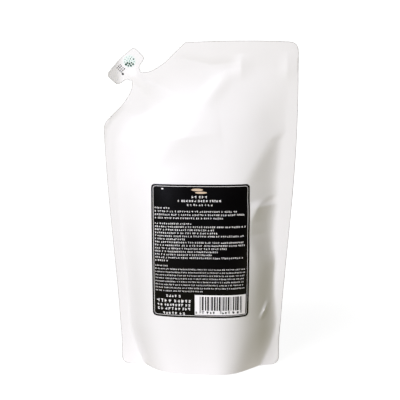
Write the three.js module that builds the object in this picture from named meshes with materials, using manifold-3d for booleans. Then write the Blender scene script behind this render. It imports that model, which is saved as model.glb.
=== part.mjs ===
// A stand-up refill pouch of white laminated film, filled and sealed, with a tear-off film spout
// across one upper corner and a black label stuck on its front.
// Millimetres, +Z up. The front faces -Y, the spout is towards -X, and the origin is on the surface
// that the pouch stands on, midway between its side seals.

import * as THREE from 'three';
import { mergeVertices } from 'three/addons/utils/BufferGeometryUtils.js';
import Module from 'manifold-3d';

const wasm = await Module();
wasm.setup();

// The film as it is cut
const FILM_WIDTH = 150;
const FILM_HEIGHT = 254;
const WELD_THICKNESS = 0.6;
const SIDE_SEAL = 7;
const TOP_CLOSED = 19; // band under the top edge where the two films lie on each other
const TOP_BOW = 1.2; // how much the middle of the top edge stands above its ends
const CORNER_RADIUS = 7.5;

// The filled body
const BELLY_DEPTH = 60; // front to back across the fullest part
const BELLY_FADE = 2; // how far up the fullness is kept before it thins towards the top
const BELLY_THIN = 1.35;
const FLATNESS_LOW = 4.4; // power of a cross-section's curve at the floor: flat in front
const FLATNESS_HIGH = 2.2;
const HEM_EASE = 1.5; // power that lets the film leave its side welds flat, above 1
const BOW_SHARE = 0.8; // film that a bow takes up, as a share of bow squared over span
const LEAN = 0.05; // how much deeper the front is on the right than in the middle, at the floor
const TOP_CURL = 5; // how far the top corners bend back from the plane of the side welds
const FOOT_TWIST = 4.4; // how far the foot turns: the right weld forwards, the left one back
const FIN_BEND = 4.5; // how far the edge of the right weld bends back near the floor
const FIN_WIDTH = 18;
const FIN_HEIGHT = 75;
const BASE_TUCK = 0.12; // share of the depth that the front and back give up at the floor
const TUCK_HEIGHT = 30;

// The bottom fold, which is welded to the front and back films along a U-shaped seam
const GUSSET_HEIGHT = 38;
const BASE_SEAL = 18.6; // width of the weld at each side where the pouch stands
const SKIRT_THICKNESS = 1;
const SKIRT_HEIGHT = 7;
const GUSSET_END_RISE = 14; // how much higher the fold stands at its two ends
const GUSSET_SAG = 1.5; // how far the fold would hang below the floor, which flattens it
const GUSSET_REACH = 0.95; // share of the skirt's span that the hollow under the fold takes

// The corner cut and the spout on it. The neck is measured outwards from the cut.
const CORNER_CUT = 63; // along the top edge and down the side, so the cut runs at 45 degrees
const CUT_SEAL = 7;
const CUT_SLOPE = 45; // inwards from the cut's seal, over which the films part
const SHOULDER_RADIUS = 6;
const NECK_LENGTH = 8;
const NECK_WIDTH = 11.8;
const NECK_OFF_MIDDLE = 0.2; // down the cut from its middle
const FLARE_WIDTH = 48;
const FLARE_RISE = 1.6;
const TEAR_NOTCH = 1.3;
const TAB_WIDTH = 29.6;
const TAB_LENGTH = 18;
const TAB_SHOULDER = 4.2; // from the tear line out to where the tab is wide
const TAB_CORNER = 3.2;
const CHANNEL_WIDTH = 9.4;
const CHANNEL_RISE = 1.2; // how far each film stands out over the pouring channel
const CHANNEL_INSIDE = 42; // how far the channel runs back into the body from the cut
const CHANNEL_IN_TAB = 9;
const TAB_CURL = 6; // how far the tab's left tip curls forwards
const TAB_CURL_LENGTH = 14;

// Folds and dents of the filled film, each placed on the front view
const FOLD_RISE = 1.6;
const FOLD_WIDTH = 6;
const FOLD_TOP = [29.5, 242];
const FOLD_END = [5, 211];
const DENT_DEPTH = 1.5;
const DENT_WIDTH = 11;
const DENT_AT = [-40, 202];
const PULL_DEPTH = 2.2; // the creases where the right seal draws the film in
const PULL_WIDTH = 7;
const PULLS_AT = [[61, 178], [56, 112]];

// The label, measured on the front view
const LABEL_WIDTH = 75.6;
const LABEL_HEIGHT = 101.5;
const LABEL_BOTTOM = 45.4;
const LABEL_RADIUS = 2.8;
const LABEL_THICKNESS = 0.3;
const LABEL_GAP = 0.3;

// How closely the curved films are followed
const COARSE_STEP = 6;
const FINE_STEP = 2.5;
const FINE_REACH = 21; // the fine steps run this far each way from the cut's middle
const EDGE_STEPS = 24;
const CURVE_STEPS = 5;
const PAST_EDGE = 2; // the sheets run this far past every edge that is cut

const HALF_FILM = FILM_WIDTH / 2;
const DIAGONAL = Math.SQRT1_2;
const CUT_FOOT = FILM_HEIGHT - CORNER_CUT;
const CUT_MIDDLE = [-HALF_FILM + CORNER_CUT / 2, FILM_HEIGHT - CORNER_CUT / 2];

const clamp = THREE.MathUtils.clamp;
const ramp = THREE.MathUtils.smoothstep;

// Half the depth that the contents give the pouch at its middle, at height z.
function bulge(z) {
  const up = clamp(z / (FILM_HEIGHT - TOP_CLOSED), 0, 1);
  const tuck = BASE_TUCK * clamp(1 - z / TUCK_HEIGHT, 0, 1) ** 2;
  return (BELLY_DEPTH / 2) * (1 - up ** BELLY_FADE) ** BELLY_THIN * (1 - tuck);
}

// Half the film between the two side welds, measured along the film. The weld widens to the floor.
function freeFilm(z) {
  const down = clamp(1 - z / GUSSET_HEIGHT, 0, 1);
  return HALF_FILM - SIDE_SEAL - (BASE_SEAL - SIDE_SEAL) * down ** 2;
}

// Half the span between the side welds. The film keeps its length, so the span shrinks as the film
// bows out: length = span + BOW_SHARE * bow^2 / span.
function halfSpan(z) {
  const film = freeFilm(z);
  const left = film ** 2 - 4 * BOW_SHARE * bulge(z) ** 2;
  return (film + Math.sqrt(Math.max(left, 0))) / 2;
}

function halfWidth(z) {
  return halfSpan(z) + HALF_FILM - freeFilm(z);
}

// How far a point of the front view lies inside the corner cut, at right angles to it.
function insideCut(x, z) {
  return (x + HALF_FILM + CUT_FOOT - z) * DIAGONAL;
}

// How far it lies to one side of the spout's middle line.
function besideSpout(x, z) {
  return (x - CUT_MIDDLE[0] + z - CUT_MIDDLE[1]) * DIAGONAL + NECK_OFF_MIDDLE;
}

function channelRise(x, z) {
  const out = -insideCut(x, z);
  const wide = CHANNEL_WIDTH / 2 + Math.max(-out, 0) / 3;
  const across = Math.max(1 - (besideSpout(x, z) / wide) ** 2, 0);
  const end = NECK_LENGTH + CHANNEL_IN_TAB;
  const along = ramp(out, -CHANNEL_INSIDE, 0) * (1 - ramp(out, NECK_LENGTH, end));
  return CHANNEL_RISE * across * along;
}

// A soft ridge along the line between two points of the front view.
function ridge(x, z, from, to, width) {
  const run = [to[0] - from[0], to[1] - from[1]];
  const length = Math.hypot(run[0], run[1]);
  const along = ((x - from[0]) * run[0] + (z - from[1]) * run[1]) / length ** 2;
  const near = clamp(along, 0, 1);
  const away = Math.hypot(x - from[0] - near * run[0], z - from[1] - near * run[1]);
  return Math.exp(-((away / width) ** 2));
}

function dimple(x, z, at, width) {
  return Math.exp(-(((x - at[0]) / width) ** 2) - ((z - at[1]) / width) ** 2);
}

// Half the pouch's thickness at a point of the front view, without folds.
function halfDepth(x, z) {
  const height = Math.max(z, 0);
  const power = FLATNESS_HIGH + (FLATNESS_LOW - FLATNESS_HIGH) * clamp(1 - z / FILM_HEIGHT, 0, 1);
  const across = Math.max(1 - Math.abs(x / halfSpan(height)) ** power, 0) ** HEM_EASE;
  const opening = ramp(insideCut(x, z), CUT_SEAL, CUT_SEAL + CUT_SLOPE);
  return WELD_THICKNESS / 2 + bulge(height) * across * opening + channelRise(x, z);
}

// The pouch stands a little askew, so its front is deeper towards the right, most at the floor.
function lean(x, z) {
  const welded = clamp(1 - Math.abs(x) / halfSpan(Math.max(z, 0)), 0, 1);
  return 1 + LEAN * Math.sin(Math.PI * welded) * Math.sign(x) * clamp(1 - z / FILM_HEIGHT, 0, 1);
}

// The tab's left tip comes forwards in a curve that starts a length in from the tip.
function tabCurl(x, z) {
  const tip = CUT_MIDDLE[0] - (NECK_LENGTH + TAB_LENGTH + TAB_WIDTH / 2 - TAB_CORNER) * DIAGONAL;
  const along = Math.max(tip + TAB_CURL_LENGTH - x, 0) / TAB_CURL_LENGTH;
  return TAB_CURL * along ** 2 * ramp(-insideCut(x, z), NECK_LENGTH / 2, NECK_LENGTH + TAB_CORNER);
}

// How far both films bend back together: the top corners curl back, the foot is twisted, and the
// edge of the right weld bends back near the floor.
function sway(x, z) {
  const up = clamp(z / FILM_HEIGHT, 0, 1);
  const out = x / HALF_FILM;
  const fin = ramp(x, HALF_FILM - FIN_WIDTH - SIDE_SEAL, HALF_FILM - SIDE_SEAL);
  const bent = TOP_CURL * out ** 2 * up ** 3 + FIN_BEND * fin * (1 - ramp(z, 0, FIN_HEIGHT));
  return bent - FOOT_TWIST * out * (1 - up) ** 2 - tabCurl(x, z);
}

// The front film's depth with its folds and dents, which die out where the films are welded.
function frontDepth(x, z) {
  const depth = halfDepth(x, z) * lean(x, z);
  const loose = 1 - Math.exp(-(depth - WELD_THICKNESS / 2) / FOLD_RISE);
  let relief = FOLD_RISE * ridge(x, z, FOLD_TOP, FOLD_END, FOLD_WIDTH);
  relief -= DENT_DEPTH * dimple(x, z, DENT_AT, DENT_WIDTH);
  for (const at of PULLS_AT) {
    relief -= PULL_DEPTH * dimple(x, z, at, PULL_WIDTH);
  }
  return Math.max(depth + relief * loose, WELD_THICKNESS / 2);
}

function evenly(from, to, count) {
  return Array.from({ length: count + 1 }, (_, i) => from + ((to - from) * i) / count);
}

// Places from one value up to, and without, another, about a step apart.
function spaced(from, to, step) {
  return evenly(from, to, Math.max(Math.round((to - from) / step), 1)).slice(0, -1);
}

// Places between two values, both included, closer together around the corner cut's middle.
function graded(from, to, middle) {
  const fineFrom = Math.max(middle - FINE_REACH, from);
  const fineTo = Math.min(middle + FINE_REACH, to);
  return [
    ...spaced(from, fineFrom, COARSE_STEP),
    ...spaced(fineFrom, fineTo, FINE_STEP),
    ...spaced(fineTo, to, COARSE_STEP),
    to,
  ];
}

// A closed body between two grids of points that share their rim. near and far give the points.
function closedBody(columns, rows, near, far) {
  const across = columns.length;
  const layer = across * rows.length;
  const positions = [];
  for (const side of [near, far]) {
    for (const row of rows) {
      for (const column of columns) {
        positions.push(...side(column, row));
      }
    }
  }
  const triangles = [];
  const quad = (a, b, c, d) => triangles.push(a, b, c, a, c, d);
  for (let j = 0; j < rows.length - 1; j++) {
    for (let i = 0; i < across - 1; i++) {
      const at = j * across + i;
      quad(at, at + 1, at + across + 1, at + across);
      quad(layer + at, layer + at + across, layer + at + across + 1, layer + at + 1);
    }
  }
  const top = (rows.length - 1) * across;
  for (let i = 0; i < across - 1; i++) {
    quad(i, layer + i, layer + i + 1, i + 1);
    quad(top + i, top + i + 1, layer + top + i + 1, layer + top + i);
  }
  for (let j = 0; j < rows.length - 1; j++) {
    const first = j * across;
    const last = first + across - 1;
    quad(first, first + across, layer + first + across, layer + first);
    quad(last, layer + last, layer + last + across, last + across);
  }
  const geometry = new THREE.BufferGeometry();
  geometry.setAttribute('position', new THREE.Float32BufferAttribute(positions, 3));
  geometry.setIndex(triangles);
  return geometry;
}

function toSolid(geometry) {
  geometry.deleteAttribute('normal');
  geometry.deleteAttribute('uv');
  const merged = mergeVertices(geometry);
  return new wasm.Manifold(new wasm.Mesh({
    numProp: 3,
    vertProperties: merged.attributes.position.array,
    triVerts: Uint32Array.from(merged.index.array),
  }));
}

function toGeometry(solid) {
  const mesh = solid.getMesh();
  const geometry = new THREE.BufferGeometry();
  geometry.setAttribute('position', new THREE.Float32BufferAttribute(mesh.vertProperties, 3));
  geometry.setIndex(Array.from(mesh.triVerts));
  geometry.computeVertexNormals();
  return geometry;
}

// An outline of the front view, drawn through the whole depth of the pouch.
function throughDepth(shape) {
  const depth = BELLY_DEPTH + 2 * PAST_EDGE;
  const options = { depth, bevelEnabled: false, curveSegments: CURVE_STEPS };
  const geometry = new THREE.ExtrudeGeometry(shape, options);
  geometry.rotateX(Math.PI / 2);
  geometry.translate(0, depth / 2, 0);
  return toSolid(geometry);
}

// A point of the spout, from the tear line's middle: out along the spout, and aside up the cut.
function spoutPoint(out, aside) {
  const away = (out + NECK_LENGTH) * DIAGONAL;
  const up = (aside - NECK_OFF_MIDDLE) * DIAGONAL;
  return [CUT_MIDDLE[0] - away + up, CUT_MIDDLE[1] + away + up];
}

// One side of the spout, from the corner cut out to the tab's end, as points along its curves.
function spoutSide(side) {
  const at = (out, aside) => spoutPoint(out, side * aside);
  const neck = NECK_WIDTH / 2;
  const tab = TAB_WIDTH / 2;
  const bend = TAB_CORNER / 4;
  const path = new THREE.Path();
  path.moveTo(...at(-NECK_LENGTH, FLARE_WIDTH / 2));
  path.quadraticCurveTo(...at(FLARE_RISE - NECK_LENGTH, neck + TAB_CORNER), ...at(-TEAR_NOTCH, neck));
  path.lineTo(...at(0, neck - TEAR_NOTCH));
  path.lineTo(...at(TEAR_NOTCH, neck));
  path.quadraticCurveTo(...at(TAB_SHOULDER, neck), ...at(TAB_SHOULDER, (neck + tab) / 2));
  path.quadraticCurveTo(...at(TAB_SHOULDER + bend, tab), ...at(TAB_SHOULDER + TAB_CORNER, tab));
  path.lineTo(...at(TAB_LENGTH - TAB_CORNER - bend, tab));
  path.quadraticCurveTo(...at(TAB_LENGTH - bend, tab), ...at(TAB_LENGTH - bend, tab - TAB_CORNER));
  return path.getPoints(CURVE_STEPS);
}

// The pouch seen from the front.
function pouchOutline() {
  const shape = new THREE.Shape();
  const round = CORNER_RADIUS;
  const footWidth = halfWidth(0);
  const rightTop = FILM_HEIGHT - round;
  const leftTop = CUT_FOOT - SHOULDER_RADIUS;
  shape.moveTo(round - footWidth, 0);
  shape.lineTo(footWidth - round, 0);
  shape.quadraticCurveTo(footWidth, 0, halfWidth(round), round);
  for (const z of evenly(round, rightTop, EDGE_STEPS).slice(1)) {
    shape.lineTo(halfWidth(z), z);
  }
  shape.quadraticCurveTo(HALF_FILM, FILM_HEIGHT, HALF_FILM - round, FILM_HEIGHT);
  const cutTop = CORNER_CUT - HALF_FILM;
  const middle = (HALF_FILM - round + cutTop) / 2;
  shape.quadraticCurveTo(middle, FILM_HEIGHT + 2 * TOP_BOW, cutTop, FILM_HEIGHT);
  for (const point of spoutSide(1)) {
    shape.lineTo(point.x, point.y);
  }
  const far = spoutSide(-1).reverse();
  const crown = spoutPoint(TAB_LENGTH + TAB_CORNER / 4, 0);
  shape.quadraticCurveTo(...crown, far[0].x, far[0].y);
  for (const point of far.slice(1)) {
    shape.lineTo(point.x, point.y);
  }
  const slope = SHOULDER_RADIUS * DIAGONAL;
  shape.lineTo(slope - HALF_FILM, CUT_FOOT + slope);
  shape.quadraticCurveTo(-HALF_FILM, CUT_FOOT, -halfWidth(leftTop), leftTop);
  for (const z of evenly(leftTop, round, EDGE_STEPS).slice(1)) {
    shape.lineTo(-halfWidth(z), z);
  }
  shape.quadraticCurveTo(-footWidth, 0, round - footWidth, 0);
  return shape;
}

// The two films as one filled body, still wider and taller than the cut outline.
function filledFilms() {
  const columns = [
    -HALF_FILM - PAST_EDGE,
    ...graded(-HALF_FILM, HALF_FILM, CUT_MIDDLE[0]).map((x) => x / HALF_FILM),
    HALF_FILM + PAST_EDGE,
  ];
  const top = FILM_HEIGHT + TOP_BOW;
  const rows = [-PAST_EDGE, ...graded(0, top, CUT_MIDDLE[1]), top + PAST_EDGE];
  const acrossAt = (column, z) => (Math.abs(column) > 1 ? column : column * halfSpan(Math.max(z, 0)));
  const front = (column, z) => {
    const x = acrossAt(column, z);
    return [x, sway(x, z) - frontDepth(x, z), z];
  };
  const back = (column, z) => {
    const x = acrossAt(column, z);
    return [x, sway(x, z) + halfDepth(x, z), z];
  };
  return toSolid(closedBody(columns, rows, front, back));
}

// The open space under the bottom fold, inside the skirt that the front and back films stand on.
function hollowUnderFold() {
  const reach = evenly(-GUSSET_REACH, GUSSET_REACH, EDGE_STEPS);
  const spread = evenly(-1, 1, EDGE_STEPS);
  const place = (u, v) => {
    const x = u * halfSpan(0);
    const film = v < 0 ? frontDepth(x, 0) : halfDepth(x, 0);
    return [x, sway(x, 0) + v * (film - SKIRT_THICKNESS)];
  };
  const fold = (u, v) => {
    const rise = (SKIRT_HEIGHT + GUSSET_SAG) * v ** 4 + GUSSET_END_RISE * u ** 4;
    return [...place(u, v), rise - GUSSET_SAG];
  };
  const below = (u, v) => [...place(u, v), -GUSSET_SAG - PAST_EDGE];
  return toSolid(closedBody(reach, spread, fold, below));
}

function pouchGeometry() {
  const films = filledFilms().intersect(throughDepth(pouchOutline()));
  return toGeometry(films.subtract(hollowUnderFold()));
}

function labelOutline() {
  const shape = new THREE.Shape();
  const side = LABEL_WIDTH / 2;
  const top = LABEL_BOTTOM + LABEL_HEIGHT;
  const round = LABEL_RADIUS;
  shape.moveTo(round - side, LABEL_BOTTOM);
  shape.lineTo(side - round, LABEL_BOTTOM);
  shape.absarc(side - round, LABEL_BOTTOM + round, round, -Math.PI / 2, 0);
  shape.absarc(side - round, top - round, round, 0, Math.PI / 2);
  shape.absarc(round - side, top - round, round, Math.PI / 2, Math.PI);
  shape.absarc(round - side, LABEL_BOTTOM + round, round, Math.PI, 1.5 * Math.PI);
  return shape;
}

// The label lies on the bowed front film, so it follows the same surface.
function labelGeometry() {
  const side = LABEL_WIDTH / 2 + PAST_EDGE;
  const top = LABEL_BOTTOM + LABEL_HEIGHT + PAST_EDGE;
  const columns = evenly(-side, side, Math.round(LABEL_WIDTH / COARSE_STEP));
  const rows = evenly(LABEL_BOTTOM - PAST_EDGE, top, Math.round(LABEL_HEIGHT / COARSE_STEP));
  const face = (lift) => (x, z) => [x, sway(x, z) - frontDepth(x, z) - LABEL_GAP - lift, z];
  const sheet = toSolid(closedBody(columns, rows, face(LABEL_THICKNESS), face(0)));
  return toGeometry(sheet.intersect(throughDepth(labelOutline())));
}

function piece(name, geometry, color, roughness) {
  const material = new THREE.MeshStandardMaterial({ color, roughness, metalness: 0 });
  const mesh = new THREE.Mesh(geometry, material);
  mesh.name = name;
  return mesh;
}

const refill = new THREE.Group();
refill.add(piece('pouch', pouchGeometry(), '#f3f1f0', 0.38));
refill.add(piece('label', labelGeometry(), '#100f11', 0.45));

export default refill;
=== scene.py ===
"""A filled white stand-up refill pouch with a corner spout and a black label.

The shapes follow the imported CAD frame, in metres, with +Z up and the label facing -Y.
"""

import math
import random
from typing import NamedTuple

import bpy
import numpy as np
from bpy.props import FloatProperty, FloatVectorProperty, IntProperty, PointerProperty
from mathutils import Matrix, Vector, kdtree
from mathutils.geometry import delaunay_2d_cdt


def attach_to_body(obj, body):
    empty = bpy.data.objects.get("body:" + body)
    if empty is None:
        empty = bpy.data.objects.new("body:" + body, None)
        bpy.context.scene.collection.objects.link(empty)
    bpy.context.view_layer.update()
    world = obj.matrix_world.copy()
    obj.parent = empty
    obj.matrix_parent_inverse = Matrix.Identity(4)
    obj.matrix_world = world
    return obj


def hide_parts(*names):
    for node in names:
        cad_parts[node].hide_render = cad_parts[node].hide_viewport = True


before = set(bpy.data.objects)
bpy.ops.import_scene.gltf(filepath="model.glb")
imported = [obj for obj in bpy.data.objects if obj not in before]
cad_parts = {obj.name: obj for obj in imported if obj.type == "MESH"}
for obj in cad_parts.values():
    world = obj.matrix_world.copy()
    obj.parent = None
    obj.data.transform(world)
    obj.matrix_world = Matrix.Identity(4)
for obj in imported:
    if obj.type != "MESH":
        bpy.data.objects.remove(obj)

bl_info = {
    "name": "Refill pouch",
    "version": (1, 0, 0),
    "blender": (4, 5, 0),
    "location": "3D View > Sidebar > Pouch",
    "description": "Builds a filled stand-up refill pouch with a corner spout and a label",
    "category": "Object",
}

MM = 0.001
DIAGONAL = math.sqrt(0.5)


# Settings


def linear(code):
    """Scene-linear colour of an sRGB hex code."""
    parts = [int(code[i : i + 2], 16) / 255 for i in (1, 3, 5)]
    return tuple(v / 12.92 if v <= 0.04045 else ((v + 0.055) / 1.055) ** 2.4 for v in parts)


def length(name, about, millimetres):
    return FloatProperty(
        name=name, description=about, default=millimetres * MM, unit="LENGTH", precision=4
    )


def number(name, about, value):
    return FloatProperty(name=name, description=about, default=value, precision=3)


def paint(name, about, code):
    return FloatVectorProperty(
        name=name, description=about, default=linear(code), subtype="COLOR", size=3, min=0, max=1
    )


class PouchSettings(bpy.types.PropertyGroup):
    """Sizes and colour of the film body."""

    width: length("Film width", "Flat width of the film", 150)
    height: length("Film height", "Height of the film", 254)
    weld: length("Weld", "Thickness where the two films are welded", 0.6)
    seal: length("Side seal", "Width of the side seals", 7)
    top: length("Closed top", "Height of flat film at the top", 19)
    bow: length("Top bow", "How far the top edge bows up", 1.2)
    corner: length("Corner radius", "Rounding of the outer corners", 7.5)
    belly: length("Belly depth", "Depth of the filled body at its foot", 60)
    gusset: length("Gusset height", "Height of the bottom gusset's weld", 38)
    base_seal: length("Foot seal", "Width of the welded film at the foot of each side", 18.6)
    skirt: length("Skirt height", "Height of the welded rim below the gusset film", 7)
    cut: length("Cut corner", "Length of each leg of the cut corner", 63)
    cut_seal: length("Cut seal", "Width of the seal along the cut corner", 7)
    cut_slope: length("Cut slope", "Length over which the body fills behind the cut", 45)
    neck: length("Neck length", "Length of the spout's neck", 8)
    neck_width: length("Neck width", "Width of the spout's neck", 11.8)
    tab_width: length("Tab width", "Width of the tear-off tab", 29.6)
    tab_length: length("Tab length", "Length of the tear-off tab", 18)
    channel: length("Channel width", "Width of the raised pouring channel", 9.4)
    channel_rise: length("Channel rise", "Height of the channel over the film", 0.9)
    curl: length("Top curl", "How far the top corners curl back", 4)
    twist: length("Foot twist", "How far the right foot stands forward", 4.4)
    step: length("Mesh step", "Distance between points of the film mesh", 1.2)
    cut_edge: length("Cut edge", "Width of the grey cut edge seen from the front", 0.28)
    film: paint("Film", "Colour of the laminated film", "#f2f0f0")
    # The cut edge's grey is partly the foil layer and partly painted shade along the outline.
    cut_and_shade_paint: paint("Cut edge colour, partly painted shade", "Colour of the laminate's cut edge and of the shade painted on it", "#a5a29e")


class LabelSettings(bpy.types.PropertyGroup):
    """Sizes and colours of the label and of all print."""

    width: length("Label width", "Width of the label", 76.5)
    height: length("Label height", "Height of the label", 101.5)
    bottom: length("Label bottom", "Height of the label's lower edge", 45.4)
    radius: length("Label radius", "Rounding of the label's corners", 2.8)
    thickness: length("Label thickness", "Thickness of the label stock", 0.25)
    inset: length("Border inset", "Distance of the printed border from the edge", 1.3)
    seed: IntProperty(name="Seed", description="Seed of the printed marks", default=7)
    stock: paint("Label", "Colour of the label stock", "#060506")
    ink: paint("Ink", "Colour of the light print", "#f7f4f4")
    # The panel colour also paints the small glint near the label's top left corner.
    panel: paint("Panel", "Colour of the barcode field and of the painted glint", "#faf7f8")
    accent: paint("Accent", "Colour of the plain mark over the headings", "#d8bfa4")
    green: paint("Green", "Colour of the dark green marks on the tab", "#27513f")
    soft_green: paint("Soft green", "Colour of the pale green marks on the tab", "#a9cdc0")
    grey: paint("Grey", "Colour of the grey marks on the tab", "#5f5c5c")
    tint: paint("Tint", "Colour of the faint field behind the green marks", "#e9f2ef")


class StageSettings(bpy.types.PropertyGroup):
    """Camera, lamps and floor."""

    distance: length("Camera distance", "Distance of the camera from the pouch", 1400)
    aim: length("Camera aim", "Height the camera looks at", 127)
    elevation: number("Camera elevation", "Degrees above the horizon", 11)
    lens: number("Lens", "Focal length in millimetres", 162.58)
    key: number("Key power", "Watts of the lower key lamp", 26.4)
    high_share: number("High key share", "Power of the higher key lamp beside the lower", 0.65)
    back: number("Back power", "Watts of each lamp behind the pouch", 12)
    fill: number("Fill strength", "Strength of the light from all round", 0.01)
    floor: paint("Floor", "Colour of the floor", "#fafafa")
    bounce: paint("Bounced light", "Colour of the light the floor throws back", "#fff8cb")
    bounced: number("Bounce strength", "Strength of the light the floor throws back", 0.37)
    near: number("Foot bounce strength", "Strength of that light beside the foot", 0.74)
    near_paint: paint("Foot bounce", "Colour of that light beside the foot", "#fffaed")


# Curves and folds


def clamp(v):
    return np.clip(v, 0.0, 1.0)


def smooth(v, low, high):
    """Runs from 0 at low to 1 at high with soft ends. Low may lie above high."""
    t = clamp((v - low) / (high - low))
    return t * t * (3 - 2 * t)


def ramp_area(x, start, width):
    """How far a slope has led that grows from 0 to 1 over a width and then stays."""
    run = np.maximum(x - start, 0)
    return np.where(run < width, run**2 / (2 * width), run - width / 2)


class Fold(NamedTuple):
    """A crease along a line, in millimetres: how wide it fades on each side, and its height."""

    path: tuple
    left: float
    right: float
    rise: float


class Dent(NamedTuple):
    """A round dent in millimetres."""

    middle: tuple
    radius: float
    depth: float


class Flank(NamedTuple):
    """A steeper strip of film between two lines from low to high, in millimetres.

    The slope sets in over twice the soft length, and fades out between the two heights of top
    and the two of bottom.
    """

    left: tuple
    right: tuple
    soft: float
    top: tuple
    bottom: tuple


CREASE_SHARPNESS = 1.6
CREASE_FADE = 0.7


def beside_path(x, z, path):
    """Signed distance from a broken line in millimetres, and the share of it at that place."""
    points = np.array(path, float) * MM
    steps = np.diff(points, axis=0)
    lengths = np.hypot(steps[:, 0], steps[:, 1])
    whole = lengths.sum()
    best = np.full(x.shape, np.inf)
    signed = np.zeros(x.shape)
    share = np.zeros(x.shape)
    passed = 0.0
    for start, run, size in zip(points, steps, lengths):
        t = clamp(((x - start[0]) * run[0] + (z - start[1]) * run[1]) / size**2)
        away = np.hypot(x - start[0] - t * run[0], z - start[1] - t * run[1])
        side = np.sign(run[0] * (z - start[1]) - run[1] * (x - start[0]))
        near = away < best
        best = np.where(near, away, best)
        signed = np.where(near, away * np.where(side == 0, 1, side), signed)
        share = np.where(near, (passed + t * size) / whole, share)
        passed += size
    return signed / MM, share


def crease(x, z, fold):
    """A sharp fold along a line that fades to nothing at both ends."""
    away, share = beside_path(x, z, fold.path)
    slope = np.where(away > 0, clamp(1 - away / fold.left), clamp(1 + away / fold.right))
    return fold.rise * MM * slope**CREASE_SHARPNESS * np.sin(np.pi * share) ** CREASE_FADE


def creases(x, z, folds):
    return sum(crease(x, z, fold) for fold in folds)


def dimple(x, z, dent):
    squared = (x - dent.middle[0] * MM) ** 2 + (z - dent.middle[1] * MM) ** 2
    return dent.depth * MM * np.exp(-squared / (dent.radius * MM) ** 2)


def wall(x, z, flank, slope, foot):
    """How far a flank falls back. The slope ends over the foot's length, in millimetres."""
    low, high = np.array(flank.left, float) * MM, np.array(flank.right, float) * MM
    from_x = np.interp(z, low[:, 1], low[:, 0])
    to_x = np.interp(z, high[:, 1], high[:, 0])
    soft = flank.soft * MM
    fall = ramp_area(x, from_x - soft, 2 * soft) - ramp_area(x, to_x, foot * MM)
    fade = smooth(z / MM, *flank.top) * smooth(z / MM, *flank.bottom)
    return fade * slope * np.maximum(fall, 0)


# Shape of the filled film

# The body thins towards the top by this power, and is tucked in a little at its foot.
BELLY_FALL = 1.35
TUCK = 0.12
TUCK_HEIGHT = 30 * MM
# How strongly the sides draw in as the film bows out.
DRAW_IN = 0.8
# How far the spout lies beside the middle of the cut corner.
SPOUT_ASIDE = 0.2 * MM


def bulge(s, z):
    """Half the depth of the filled body at a height."""
    up = clamp(z / (s.height - s.top))
    tuck = TUCK * clamp(1 - z / TUCK_HEIGHT) ** 2
    return s.belly / 2 * (1 - up**2) ** BELLY_FALL * (1 - tuck)


def free_film(s, z):
    """Half the flat width of the film between the seals."""
    return s.width / 2 - s.seal - (s.base_seal - s.seal) * clamp(1 - z / s.gusset) ** 2


def half_span(s, z):
    """Half the width of the filled part. The sides draw in as the film bows out."""
    film = free_film(s, z)
    return (film + np.sqrt(np.maximum(film**2 - 4 * DRAW_IN * bulge(s, z) ** 2, 0))) / 2


def half_width(s, z):
    return half_span(s, z) + s.width / 2 - free_film(s, z)


def inside_cut(s, x, z):
    """Distance inward from the cut corner's line."""
    return (x + s.width / 2 + s.height - s.cut - z) * DIAGONAL


def beside_spout(s, x, z):
    """Distance sideways from the spout's middle line."""
    return (x - s.cut / 2 + s.width / 2 + z - s.height + s.cut / 2) * DIAGONAL + SPOUT_ASIDE


CHANNEL_FLARE = 1 / 3
CHANNEL_START = 42 * MM
CHANNEL_END = 9 * MM


def channel_rise(s, x, z):
    """The pouring channel that runs from the body through the neck to the tab."""
    out = -inside_cut(s, x, z)
    wide = s.channel / 2 + np.maximum(-out, 0) * CHANNEL_FLARE
    across = np.maximum(1 - (beside_spout(s, x, z) / wide) ** 2, 0)
    along = smooth(out, -CHANNEL_START, 0) * (1 - smooth(out, s.neck, s.neck + CHANNEL_END))
    return s.channel_rise * across * along


# The body is fuller from side to side near the foot. A higher power gives squarer flanks, and a
# higher softness a gentler run into the seals.
TOP_POWER = 2.9
FOOT_POWER = 1.5
SIDE_SOFTNESS = 1.5
# Low on the right the flank is softer, and reaches further into the seal.
SOFT_FLANK_POWER = -0.7
SOFT_FLANK_REACH = 0.09
SOFT_FLANK_SOFTNESS = 0.5
SOFT_FLANK_SIDE = (0, 25 * MM)
SOFT_FLANK_HEIGHTS = (75 * MM, 30 * MM)
# Behind the cut corner the body fills up by this power of a quarter wave.
CUT_POWER = 1.2
# Near the foot the right side is fuller and the left thinner, both by this share.
LEAN = 0.05


def half_depth(s, x, z):
    """Half the depth of the pouch at a place, with the weld and the pouring channel."""
    flank = smooth(x, *SOFT_FLANK_SIDE) * smooth(z, *SOFT_FLANK_HEIGHTS)
    power = TOP_POWER + FOOT_POWER * clamp(1 - z / s.height) + SOFT_FLANK_POWER * flank
    span = half_span(s, z) * (1 + SOFT_FLANK_REACH * flank)
    softness = SIDE_SOFTNESS + SOFT_FLANK_SOFTNESS * flank
    across = clamp(1 - np.abs(x / span) ** power) ** softness
    body = bulge(s, np.maximum(z, 0)) * across
    opened = clamp((inside_cut(s, x, z) - s.cut_seal) / s.cut_slope)
    body = body * np.sin(np.pi / 2 * opened) ** CUT_POWER
    return s.weld / 2 + body + channel_rise(s, x, z)


def lean(s, x, z):
    side = np.sin(np.pi * clamp(1 - np.abs(x) / half_span(s, z))) * np.sign(x)
    return 1 + LEAN * side * clamp(1 - z / s.height)


# Bends of both films together

TOP_FOLDS = (
    Fold(((-18, 243), (8, 237), (30, 239)), left=6, right=12, rise=-0.6),
    Fold(((31, 245), (31, 224)), left=12, right=9, rise=0.9),
    Fold(((66.5, 247), (66, 213)), left=13, right=8, rise=0.7),
)
TOP_FOLDS_REACH = 34 * MM
LEFT_SHOULDER = Fold(((-75, 172), (-75, 188), (-70, 196), (-58, 208)), left=4, right=4, rise=0.8)
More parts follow.
